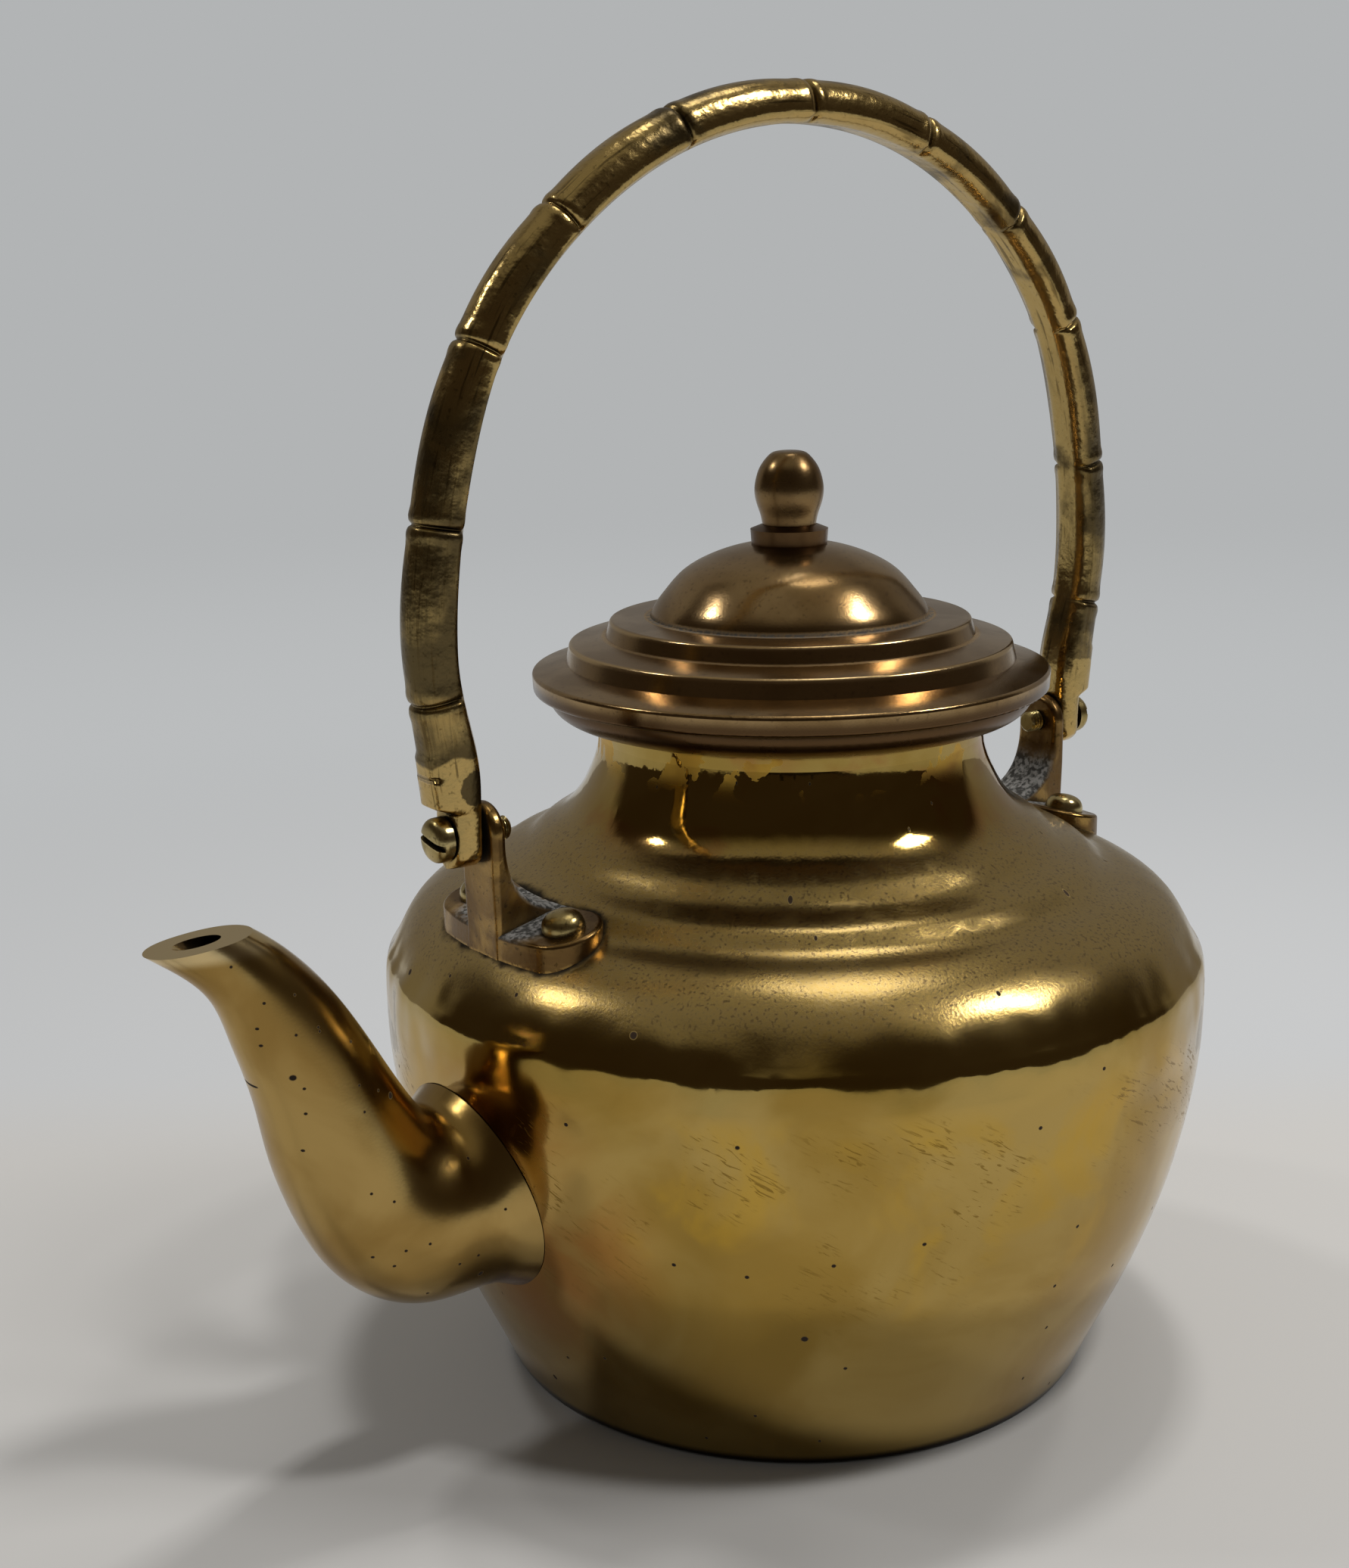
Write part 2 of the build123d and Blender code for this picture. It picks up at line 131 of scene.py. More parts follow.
def fade(tree, *masks):
    """Product of masks, each given as such or as a value and the two ends of its range.

    The mask of a value goes softly from 0 at the first end to 1 at the second, or
    between two other numbers given after them.
    """
    product = None
    for mask in masks:
        if isinstance(mask, tuple):
            names = ("Value", "From Min", "From Max", "To Min", "To Max")
            mask = add(tree, "MapRange", dict(zip(names, mask)), interpolation_type="SMOOTHSTEP")
        if product is None:
            product = mask
        else:
            product = add(tree, "Math", {0: product, 1: mask}, operation="MULTIPLY")
    return product


def laid(tree, finish, mask, **over):
    """Finish with another colour, or other numbers, laid over it where a mask holds."""
    covered = dict(finish)
    for name, value in over.items():
        if name == "colour":
            inputs = {0: mask, 6: finish[name], 7: value}
            covered[name] = add(tree, "Mix", inputs, out=2, data_type="RGBA")
        else:
            covered[name] = add(tree, "Mix", {0: mask, 2: finish[name], 3: value})
    return covered


def new_material(name):
    """Material with an empty node tree."""
    material = bpy.data.materials.new(name)
    material.use_nodes = True
    material.node_tree.nodes.clear()
    return material, material.node_tree


# Matt card gives a plain grey with soft shadows. Further off it keeps one brightness.
matt_card, tree = new_material("matt_pale_card")
place = add(tree, "TexCoord", {}, out="Object")
beyond = add(tree, "VectorMath", {0: place, 1: away}, out="Value", operation="DOT_PRODUCT")
reach = add(tree, "VectorMath", {0: place}, out="Value", operation="LENGTH")
# Painted light: beyond the pot the card turns a cooler grey, for the light it catches there
card = laid(tree, {"colour": "#A9A7A4"}, fade(tree, (beyond, 0.07, 0.14)), colour="#A7A8A9")
lit_card = add(tree, "BsdfDiffuse", {"Color": card["colour"]})
far = laid(tree, {"colour": "#BBBDBE"}, fade(tree, (reach, 0.5, 1.4)), colour=backdrop_colour)
far_card = add(tree, "Emission", {"Color": far["colour"]})
shade = add(tree, "MixShader", {0: fade(tree, (reach, 0.22, 0.6)), 1: lit_card, 2: far_card})
# Painted reflection: to the metal alone the sheet turns dark past 0.95 m on the camera's side, as
# if its front edge lay there with the dark room past it
seen_in_metal = add(tree, "LightPath", {}, out="Is Glossy Ray")
past_edge = fade(tree, seen_in_metal, (beyond, -0.95, -1.1))
painted_dark_reflection = add(tree, "Emission", {"Color": "#17120C"})
shade = add(tree, "MixShader", {0: past_edge, 1: shade, 2: painted_dark_reflection})
add(tree, "OutputMaterial", {"Surface": shade})
floor_mesh.materials.append(matt_card)


# Room
# What lights the pot from all round, and what its metal mirrors: pale walls behind it,
# a dark room on the camera's side, and the ceiling. The eye sees the backdrop alone.
low_light = "#8A8884"
high_light = "#FFFCF6"
light_level = 0.24
pale_sides = "#86837E"
dark_room = "#372F27"
ceiling = "#8E8B83"

world = bpy.data.worlds.new("room")
bpy.context.scene.world = world
world.use_nodes = True
world.cycles.sampling_method = "NONE"
tree = world.node_tree
tree.nodes.clear()
direction = add(tree, "TexCoord", {}, out="Generated")
facing = add(tree, "VectorMath", {0: direction, 1: away}, out="Value", operation="DOT_PRODUCT")
height = add(tree, "SeparateXYZ", {0: direction}, out="Z")
rays = add(tree, "LightPath", {}, out=None)
room = laid(tree, {"colour": dark_room}, fade(tree, (facing, 0.34, 0.5)), colour=pale_sides)
room = laid(tree, room, fade(tree, (height, 0.7, 0.93)), colour=ceiling)
light = {"colour": low_light, "level": light_level}
light = laid(tree, light, fade(tree, (height, 0.2, 0.75)), colour=high_light)
light = laid(tree, light, rays["Is Glossy Ray"], colour=room["colour"], level=1.0)
light = laid(tree, light, rays["Is Camera Ray"], colour=backdrop_colour, level=1.0)
shade = add(tree, "Background", {"Color": light["colour"], "Strength": light["level"]})
add(tree, "OutputWorld", {"Surface": shade})


# Lamps
# Soft square studio lamps, placed where their highlights lie on the lid, the knob, the
# neck and the shoulder. Angles are in degrees, measured from the camera's own side.
lamp_aim = Vector((0, 0, 0.1))


def lamp(name, azimuth, elevation, distance, size, power):
    """Square lamp that faces the pot's lid from a direction."""
    turn = atan2(behind.y, behind.x) + radians(azimuth)
    rise = radians(elevation)
    from_pot = Vector((cos(turn) * cos(rise), sin(turn) * cos(rise), sin(rise)))
    data = bpy.data.lights.new(name, "AREA")
    data.shape = "SQUARE"
    data.size = size
    data.energy = power
    lamp_object = bpy.data.objects.new(name, data)
    lamp_object.location = from_pot * distance + lamp_aim
    lamp_object.rotation_euler = from_pot.to_track_quat("Z", "Y").to_euler()
    bpy.context.collection.objects.link(lamp_object)
    return lamp_object


lamp("lamp_left", -94, 46, 1.2, 0.10, 1.2)
lamp("lamp_right", 80, 48, 1.2, 0.22, 4.2)
lamp("lamp_overhead", 142, 76, 1.3, 0.4, 1.8)
# Four more light the sheet and lay the pot's soft shadows there, out of the metal's sight
for shadow_lamp in (
    lamp("lamp_above", 150, 80, 1.5, 0.16, 8.5),
    lamp("lamp_front", 50, 66, 1.5, 0.16, 9),
    lamp("lamp_behind", 132, 46, 1.5, 0.16, 4),
    lamp("lamp_side", -120, 56, 1.5, 0.16, 4),
):
    shadow_lamp.visible_glossy = False


# Body shell and spout
# Brass sheet, spun over a former to a narrow neck and a stepped shoulder, then planished
# and polished by hand. The spout is a tube drawn to a taper, bent and soldered on. The
# shoulder has worn to a satin, and flakes of old lacquer are left on the neck.
mm = 0.001
wall_radius = 0.065
spout_joint = (-0.064, -0.01, 0.046)
# Pairs of heights between which a finish comes in softly, or goes out where they fall
on_foot = (0.0022, 0.0006)
above_foot = (0.025, 0.05)
into_dents = (0.062, 0.072)
below_shoulder = (0.074, 0.066)
out_of_dents = (0.088, 0.078)
on_shoulder = (0.078, 0.087)
below_neck = (0.107, 0.101)
on_neck = (0.1, 0.107)
on_flakes = (0.111, 0.1155)
at_mouth_ring = (0.1188, 0.1198)
at_spout_lip = (0.0975, 0.0995)


def dress(node, material):
    """Give a CAD node its finish."""
    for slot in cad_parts[node].material_slots:
        slot.material = material


def finished(tree, finish, normal):
    """Close a metal's tree with its shader."""
    inputs = {
        "Base Color": finish["colour"],
        "Roughness": finish["roughness"],
        "Metallic": finish["metal"],
        "Normal": normal,
    }
    add(tree, "OutputMaterial", {"Surface": add(tree, "BsdfPrincipled", inputs)})


def round_pot(tree):
    """Object place, its three parts, and its radius from the pot's axis."""
    place = add(tree, "TexCoord", {}, out="Object")
    x, y, z = add(tree, "SeparateXYZ", {0: place}, out=None)
    flat = add(tree, "CombineXYZ", {0: x, 1: y})
    radius = add(tree, "VectorMath", {0: flat}, out="Value", operation="LENGTH")
    return place, x, y, z, radius


def unroll(tree, x, y, z, radius):
    """Place on the wall laid out flat: round it, up it, and out from the axis."""
    angle = add(tree, "Math", {0: y, 1: x}, operation="ARCTAN2")
    around = add(tree, "Math", {0: angle, 1: wall_radius}, operation="MULTIPLY")
    return add(tree, "CombineXYZ", {0: around, 1: z, 2: radius})


def pits(tree, place, spacing, size, share):
    """Round pits over two directions, in a share of the cells with this spacing."""
    distance, cell = add(
        tree,
        "TexVoronoi",
        {"Vector": place, "Scale": 1 / spacing},
        out=None,
        voronoi_dimensions="2D",
    )[:2]
    chance = add(tree, "SeparateColor", {0: cell})
    pitted = add(tree, "Math", {0: chance, 1: share}, operation="LESS_THAN")
    return fade(tree, pitted, (distance, size / spacing, 0.6 * size / spacing))


# Polished brass gives a warm yellow mirror. Hand polishing leaves it slightly wavy, so
# reflections wobble, and tarnish dulls it in soft clouds.
spun_brass, tree = new_material("spun_polished_brass")
place, x, y, z, radius = round_pot(tree)
unrolled = unroll(tree, x, y, z, radius)
cloud = add(
    tree, "TexNoise", {"Vector": place, "Scale": 1 / (30 * mm), "Detail": 5, "Distortion": 0.6}
)
stain = add(
    tree, "TexNoise", {"Vector": place, "Scale": 1 / (22 * mm), "Detail": 4, "Distortion": 1.2}
)
speck = add(tree, "TexNoise", {"Vector": place, "Scale": 1 / (0.6 * mm), "Detail": 2})
ragged = add(tree, "TexNoise", {"Vector": place, "Scale": 1 / (4 * mm), "Detail": 4})
mid_wall = fade(tree, (z, *above_foot), (z, *below_shoulder))
satin = fade(tree, (z, *on_shoulder), (z, *below_neck))
neck = fade(tree, (z, *on_neck))

dulled = fade(tree, (cloud, 0.3, 0.7, 0.09, 0.14))
dulled = add(tree, "Math", {0: satin, 1: 0.15, 2: dulled}, operation="MULTIPLY_ADD")
finish = {"colour": "#BDA15D", "roughness": dulled, "metal": 1.0}
finish = laid(tree, finish, fade(tree, (cloud, 0.35, 0.65)), colour="#A88942")
finish = laid(tree, finish, neck, roughness=0.06)
yellowed = fade(tree, mid_wall, (stain, 0.45, 0.72, 0.0, 0.7))
finish = laid(tree, finish, yellowed, colour="#C9A23C")

# The soldering flame has left the wall orange round the spout's joint
from_joint = add(tree, "VectorMath", {0: place, 1: spout_joint}, out="Value", operation="DISTANCE")
heated = fade(tree, (from_joint, 0.034, 0.016), (cloud, 0.38, 0.58, 0.2, 0.8))
finish = laid(tree, finish, heated, colour="#B27A3C")

# Short slanting marks of a polishing cloth, in patches over the wall
slanted = add(tree, "VectorRotate", {"Vector": unrolled, "Angle": 0.6}, rotation_type="Z_AXIS")
drawn_out = (1 / (3.5 * mm), 1 / (0.6 * mm), 1)
slanted = add(tree, "VectorMath", {0: slanted, 1: drawn_out}, operation="MULTIPLY")
wipe = add(tree, "TexNoise", {"Vector": slanted, "Scale": 1, "Detail": 2, "Distortion": 1.2})
wiped = add(tree, "TexNoise", {"Vector": place, "Scale": 1 / (16 * mm), "Detail": 2})
wipe_marks = fade(tree, (wipe, 0.58, 0.67), (wiped, 0.48, 0.6, 0.0, 0.75), mid_wall)
finish = laid(tree, finish, wipe_marks, colour="#86692B", roughness=0.42)

# Along the mouth ring the neck keeps ragged flakes of lacquer, dull gold on dark mirror
flake = add(
    tree, "TexNoise", {"Vector": place, "Scale": 1 / (8.5 * mm), "Detail": 5, "Distortion": 0.4}
)
flaked = fade(tree, (z, *on_flakes), (flake, 0.565, 0.575))
finish = laid(tree, finish, flaked, colour="#E0B44E", roughness=0.42)

# The shoulder's satin is paler, with specks of dust, and the neck below the ring redder
finish = laid(tree, finish, fade(tree, satin, (speck, 0.35, 0.7, 0.45, 1.0)), colour="#B39A66")
finish = laid(tree, finish, fade(tree, satin, (speck, 0.56, 0.68, 0.0, 0.6)), colour="#6F5735")
finish = laid(tree, finish, fade(tree, neck, (stain, 0.48, 0.64, 0.0, 0.5)), colour="#A5693A")

# Brown pits, and a dark brown band along the bottom of the foot
small_pits = pits(tree, unrolled, 13 * mm, 0.4 * mm, 0.4)
large_pits = pits(tree, unrolled, 30 * mm, 0.7 * mm, 0.35)
brown_pits = add(tree, "Math", {0: small_pits, 1: large_pits}, operation="MAXIMUM")
finish = laid(tree, finish, brown_pits, colour="#2E2013", roughness=0.8, metal=0.2)
finish = laid(tree, finish, fade(tree, (z, *on_foot)), colour="#2E2013")

# Powdery dirt round the lugs' plates, which lie along a ring on the shoulder
lug_reach = 0.0612
lug_half_length = 0.0128
lug_ragged = 0.003
lug_height = 0.08
across = add(tree, "Math", {0: x}, operation="ABSOLUTE")
turn = add(tree, "Math", {0: y, 1: across}, operation="ARCTAN2")
turn = add(tree, "Math", {0: turn}, operation="ABSOLUTE")
past_end = add(
    tree, "Math", {0: turn, 1: lug_reach, 2: -lug_half_length}, operation="MULTIPLY_ADD"
)
past_end = add(tree, "Math", {0: past_end, 1: 0.0}, operation="MAXIMUM")
outside = add(tree, "Math", {0: radius, 1: lug_reach}, operation="SUBTRACT")
from_lug = add(tree, "CombineXYZ", {0: past_end, 1: outside})
from_lug = add(tree, "VectorMath", {0: from_lug}, out="Value", operation="LENGTH")
from_lug = add(tree, "Math", {0: ragged, 1: -lug_ragged, 2: from_lug}, operation="MULTIPLY_ADD")
on_top = add(tree, "Math", {0: z, 1: lug_height}, operation="GREATER_THAN")
lug_dirt = fade(tree, on_top, (from_lug, 0.0064, 0.0048))
finish = laid(tree, finish, lug_dirt, colour="#453F37", roughness=0.8)
ring_dirt = fade(tree, (z, *at_mouth_ring), (ragged, 0.35, 0.6, 0.5, 1.0))
finish = laid(tree, finish, ring_dirt, colour="#4A3520", roughness=0.8)

# Hammer dents along the shoulder's turn, faint elsewhere, and the satin's grain. The
# real grain is too fine to show, so it is drawn at half a millimetre.
dent = add(tree, "TexNoise", {"Vector": place, "Scale": 1 / (16 * mm), "Detail": 1.2})
dented = fade(tree, (z, *into_dents), (z, *out_of_dents))
dented = add(tree, "Mix", {0: dented, 2: 0.12, 3: 1.0})
grain = add(tree, "TexNoise", {"Vector": place, "Scale": 1 / (0.5 * mm), "Detail": 2})
grained = add(tree, "Mix", {0: satin, 2: 0.15, 3: 1.0})
normal = add(tree, "Bump", {"Height": fade(tree, dent, dented), "Distance": 2.3 * mm})
normal = add(
    tree,
    "Bump",
    {"Height": fade(tree, grain, grained), "Distance": 0.02 * mm, "Normal": normal},
)
finished(tree, finish, normal)
for node in ("body_shell", "base_plate"):
    dress(node, spun_brass)

# The spout is polished as the wall is, with more pits from its soldering, a bright lip, and
# painted shade in brown under its joint
drawn_brass, tree = new_material("drawn_polished_brass")
place, x, _, z, radius = round_pot(tree)
cloud = add(
    tree, "TexNoise", {"Vector": place, "Scale": 1 / (24 * mm), "Detail": 5, "Distortion": 0.6}
)
ragged = add(tree, "TexNoise", {"Vector": place, "Scale": 1 / (4 * mm), "Detail": 4})
dulled = fade(tree, (cloud, 0.3, 0.7, 0.16, 0.26))
finish = {"colour": "#B5985C", "roughness": dulled, "metal": 1.0}
finish = laid(tree, finish, fade(tree, (cloud, 0.35, 0.65)), colour="#9E7F45")
# Painted shade: the spout's underside next to the wall is laid brown, for the shadow in the groove
# under its joint
painted_shade_under_joint = fade(
    tree, (radius, 0.0775, 0.0755), (z, 0.04, 0.034), (ragged, 0.3, 0.6, 0.4, 1.0)
)
finish = laid(tree, finish, painted_shade_under_joint, colour="#6F4A22")
finish = laid(tree, finish, fade(tree, (z, *at_spout_lip)), colour="#D8C08C")
from_side = add(tree, "CombineXYZ", {0: x, 1: z})
small_pits = pits(tree, from_side, 4.5 * mm, 0.3 * mm, 0.4)
large_pits = pits(tree, from_side, 14 * mm, 0.6 * mm, 0.5)
black_pits = add(tree, "Math", {0: small_pits, 1: large_pits}, operation="MAXIMUM")
finish = laid(tree, finish, black_pits, colour="#2A1D10", roughness=0.8, metal=0.3)
dent = add(tree, "TexNoise", {"Vector": place, "Scale": 1 / (15 * mm), "Detail": 1})
grain = add(tree, "TexNoise", {"Vector": place, "Scale": 1 / (0.5 * mm), "Detail": 2})
normal = add(tree, "Bump", {"Height": dent, "Distance": 0.22 * mm})
normal = add(tree, "Bump", {"Height": grain, "Distance": 0.006 * mm, "Normal": normal})
finished(tree, finish, normal)
dress("spout", drawn_brass)


# Lid, mouth ring and knob
# Turned brass, left from the tool and browned by handling, with dust in the corners of
# the steps. The ring is soldered on the neck, the lid sits loose on it, and the knob's
# stud goes through its collar and the dome to a nut.
# Heights below which painted shade darkens the turned brass, under the lid's brim
painted_shade_below_brim = (0.1285, 0.1265)
# Radius, height and width of each ring of dust or wear
dusty_corners = (
    (0.0408, 0.1291, 0.0013),
    (0.0336, 0.1341, 0.0012),
    (0.0255, 0.1382, 0.0011),
)
rubbed_edges = (
    (0.0402, 0.1337, 0.0008),
    (0.0330, 0.1378, 0.0008),
)


def near_ring(tree, section, ring):
    """Mask of a ring round the axis, in places given by radius and height."""
    ring_radius, ring_height, width = ring
    gap = add(
        tree,
        "VectorMath",
        {0: section, 1: (ring_radius, ring_height, 0)},
        out="Value",
        operation="DISTANCE",
    )
    return fade(tree, (gap, width, 0.3 * width))


def turned_brass(name, light, dark, smooth, rough, corners=(), edges=()):
    """Brown turned brass with fine tool lines, dusty corners, rubbed edges, and painted shade
    below the lid's brim.
    """
    material, tree = new_material(name)
    place, x, y, z, radius = round_pot(tree)
    cloud = add(
        tree, "TexNoise", {"Vector": place, "Scale": 1 / (14 * mm), "Detail": 5, "Distortion": 0.4}
    )
    speck = add(tree, "TexNoise", {"Vector": place, "Scale": 1 / (0.7 * mm), "Detail": 2})
    dulled = fade(tree, (cloud, 0.3, 0.7, smooth, rough))
    finish = {"colour": light, "roughness": dulled, "metal": 1.0}
    finish = laid(tree, finish, fade(tree, (cloud, 0.35, 0.65)), colour=dark)
    finish = laid(tree, finish, fade(tree, (speck, 0.58, 0.74, 0.0, 0.5)), colour="#5E4A33")
    # Painted shade: below the brim, down the flange and over the mouth ring, the brass is laid a
    # darker brown
    finish = laid(tree, finish, fade(tree, (z, *painted_shade_below_brim)), colour="#5E472E")
    section = add(tree, "CombineXYZ", {0: radius, 1: z})
    for ring in edges:
        finish = laid(tree, finish, near_ring(tree, section, ring), colour="#C8AB7C")
    for ring in corners:
        dust = fade(tree, near_ring(tree, section, ring), (speck, 0.3, 0.6, 0.5, 1.0))
        finish = laid(tree, finish, dust, colour="#47433D", roughness=0.85, metal=0.15)
    drawn_out = (1 / (20 * mm), 1 / (0.35 * mm), 1 / (0.35 * mm))
    unrolled = unroll(tree, x, y, z, radius)
    tool_lines = add(tree, "VectorMath", {0: unrolled, 1: drawn_out}, operation="MULTIPLY")
    tool_lines = add(tree, "TexNoise", {"Vector": tool_lines, "Scale": 1, "Detail": 2})
    grain = add(tree, "TexNoise", {"Vector": place, "Scale": 1 / (0.4 * mm), "Detail": 2})
    normal = add(tree, "Bump", {"Height": tool_lines, "Distance": 0.004 * mm})
    normal = add(tree, "Bump", {"Height": grain, "Distance": 0.012 * mm, "Normal": normal})
    finished(tree, finish, normal)
    return material


# Turned brass gives a brown satin with highlights drawn out round it. Its tool lines are
# too fine to show at their real spacing, so they are drawn about 0.35 mm apart.
lid_brass = turned_brass(
    "turned_browned_brass", "#AA8D62", "#8E724A", 0.17, 0.25, dusty_corners, rubbed_edges
)
for node in ("lid_cap", "lid_flange"):
    dress(node, lid_brass)
dress("mouth_ring", turned_brass("turned_ring_brass", "#7C613F", "#5F482D", 0.24, 0.34))
dress("lid_knob", turned_brass("turned_knob_brass", "#937850", "#785E3C", 0.24, 0.34))
dress("knob_collar", turned_brass("turned_collar_brass", "#75593A", "#5A432B", 0.28, 0.36))


# Bail
# One brass casting in the form of bent bamboo: half round outside, flat and bevelled
# inside, with filed grooves for the knuckles. Its dark lacquer has worn to gold where it
# is held. Its flattened legs end in rounds on the pivot screws.
pivot_height = 0.1091
leg_inner_x = 0.0684
leg_length = 0.022
bail_half_width = 0.0045
bail_lean = radians(1.7)
bevel_width = 0.0022
bevel_depth = 0.0014
foot_radius = 0.0052
foot_depth = 0.0056
foot_tip_half_width = 0.0002
seat_start = 0.0096
seat_length = 0.0016
knuckle_groove = 0.0007
groove_width = 0.00035
groove_on_crest = 0.55
knuckle_lip = 0.0002
lip_offset = 0.0014
lip_width = 0.0009
barrel_swell = 0.0003
# Across, up and depth of the inner face up one leg to the crown
leg_line = [
    (leg_inner_x, 0.1039, foot_depth),
    (leg_inner_x, 0.1135, foot_depth),
    (leg_inner_x + 0.0001, 0.1203, 0.0092),
]
knuckles = [
    (leg_inner_x + 0.0029, 0.1335, 0.0081),
    (leg_inner_x + 0.0021, 0.1599, 0.0080),
    (leg_inner_x - 0.0058, 0.1863, 0.0073),
    (leg_inner_x - 0.0208, 0.2049, 0.0071),
    (leg_inner_x - 0.0426, 0.2183, 0.0073),
    (0.0, 0.2231, 0.0071),
]
# Distance from the foot's end, and the leg's depth there
leg_swell = ([0, 0.0112, 0.0156, leg_length], [foot_depth, 0.0088, 0.0094, 0.0092])
# Distance from the foot's end, and how square the back is there (2 is round)
squareness = ([0.012, 0.034], [3.6, 2.3])

half_line = leg_line + knuckles
whole_line = np.array(half_line + [(-x, z, depth) for x, z, depth in reversed(half_line[:-1])])
steps = np.hypot(*np.diff(whole_line[:, :2], axis=0).T)
knots = np.concatenate([[0], np.cumsum(steps)])
knuckle_knots = knots[len(leg_line) : len(knots) - len(leg_line)]


def smooth_curve(knots, values, at):
    """Natural cubic curve through values at knots, read at other places."""
    gaps = np.diff(knots)
    count = len(knots)
    system = np.eye(count)
    turns = np.zeros(values.shape)
    for i in range(1, count - 1):
        system[i, i - 1 : i + 2] = gaps[i - 1], 2 * (gaps[i - 1] + gaps[i]), gaps[i]
        after = (values[i + 1] - values[i]) / gaps[i]
        before = (values[i] - values[i - 1]) / gaps[i - 1]
        turns[i] = 6 * (after - before)
    bend = np.linalg.solve(system, turns)
    i = np.clip(np.searchsorted(knots, at) - 1, 0, count - 2)
    gap = gaps[i][:, None]
    t = (at - knots[i])[:, None]
    slope = (values[i + 1] - values[i]) / gap - gap * (2 * bend[i] + bend[i + 1]) / 6
    return values[i] + t * slope + t**2 * bend[i] / 2 + t**3 * (bend[i + 1] - bend[i]) / (6 * gap)


# Rows of points along the bail, close together at knuckles, feet and seats
row_spacing = 0.001
small_step = 1e-5
by_knuckle = np.array([0.00015, 0.0003, 0.00045, 0.0006, 0.0009, 0.0013, 0.0018])
by_foot = np.linspace(0, 0.0022, 14)
by_seat = np.linspace(0.0094, 0.0118, 12)
along = [np.arange(0, knots[-1], row_spacing), [knots[-1]], knuckle_knots]
for knot in knuckle_knots:
    along += [knot - by_knuckle, knot + by_knuckle]
for end, way in ((0, 1), (knots[-1], -1)):
    along += [end + way * by_foot, end + way * by_seat]
along = np.unique(np.round(np.concatenate(along), 6))
line = smooth_curve(knots, whole_line[:, :2], along)
run = smooth_curve(knots, whole_line[:, :2], along + small_step) - line
run /= np.linalg.norm(run, axis=1)[:, None]
outward = np.stack([run[:, 1], -run[:, 0]], axis=1)
outward[along < knots[2]] = (1, 0)
outward[along > knots[-3]] = (-1, 0)

# Smooth depth, with a step at the seat of the screw's head
from_end = np.minimum(along, knots[-1] - along)
seat = np.clip((from_end - seat_start) / seat_length, 0, 1)
seat = seat * seat * (3 - 2 * seat)
leg_depth = foot_depth + (np.interp(from_end, *leg_swell) - foot_depth) * seat
depth = np.interp(along, knots, whole_line[:, 2])
depth = np.where(from_end < leg_length, leg_depth, depth)
below = np.clip(pivot_height - line[:, 1], 0, foot_radius)
foot_half = np.sqrt(np.maximum(foot_radius**2 - below**2, foot_tip_half_width**2))
half_width = np.minimum(bail_half_width, foot_half)

from_knuckle = np.abs(along[:, None] - knuckle_knots[None, :]).min(axis=1)
place_in_barrel = np.interp(along, knuckle_knots, np.arange(len(knuckle_knots)))
swell = barrel_swell * np.sin(pi * (place_in_barrel % 1))
swell += knuckle_lip * np.exp(-(((from_knuckle - lip_offset) / lip_width) ** 2))
groove = knuckle_groove * np.exp(-((from_knuckle / groove_width) ** 2))

back_arc = np.linspace(0, pi, 33)
inner_points = 7
rows = []
for i, power in enumerate(2 / np.interp(from_end, *squareness)):
    half = half_width[i]
    flat_half = half - min(bevel_width, 0.9 * half)
    reach_y = np.sign(np.cos(back_arc)) * np.abs(np.cos(back_arc)) ** power
    reach_v = np.sin(back_arc) ** power
    cut = groove_on_crest + (1 - groove_on_crest) * np.abs(np.cos(back_arc))
    grown = swell[i] - groove[i] * cut
    back_y = (half + grown) * reach_y
    back_v = bevel_depth + (depth[i] - bevel_depth + grown) * reach_v
    row_y = np.concatenate([np.linspace(-flat_half, flat_half, inner_points), back_y])
    row_v = np.concatenate([np.zeros(inner_points), back_v])
    row_x = line[i, 0] + outward[i, 0] * row_v
    row_z = line[i, 1] + outward[i, 1] * row_v
    rows.append(np.stack([row_x, row_y, row_z], axis=1))
rows = np.array(rows)
up = rows[:, :, 2] - pivot_height
lean_y = rows[:, :, 1] * cos(bail_lean) - up * sin(bail_lean)
rows[:, :, 2] = pivot_height + rows[:, :, 1] * sin(bail_lean) + up * cos(bail_lean)
rows[:, :, 1] = lean_y

ring = rows.shape[1]
faces = [
    (i * ring + j, i * ring + (j + 1) % ring, (i + 1) * ring + (j + 1) % ring, (i + 1) * ring + j)
    for i in range(len(along) - 1)
    for j in range(ring)
]
faces.append(tuple(range(ring))[::-1])
faces.append(tuple((len(along) - 1) * ring + j for j in range(ring)))
bail_mesh = bpy.data.meshes.new("bail_casting")
bail_mesh.from_pydata(rows.reshape(-1, 3).tolist(), [], faces)
bail_mesh.shade_smooth()
# The map's first number runs along the bail in metres, its second round it
bail_map = bail_mesh.uv_layers.new(name="along_and_round").data
for face in bail_mesh.polygons:
    for loop in face.loop_indices:
        i, j = divmod(bail_mesh.loops[loop].vertex_index, ring)
        wrapped = j == 0 and face.loop_total == 4 and face.index % ring == ring - 1
        bail_map[loop].uv = (along[i], 1.0 if wrapped else j / ring)
bail = bpy.data.objects.new("bail_casting", bail_mesh)
bpy.context.collection.objects.link(bail)
bail_skin = bmesh.new()
bail_skin.from_mesh(bail_mesh)
bmesh.ops.recalc_face_normals(bail_skin, faces=bail_skin.faces)
bail_skin.to_mesh(bail_mesh)
bail_skin.free()
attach(bail, "bail")
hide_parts("bail_handle")

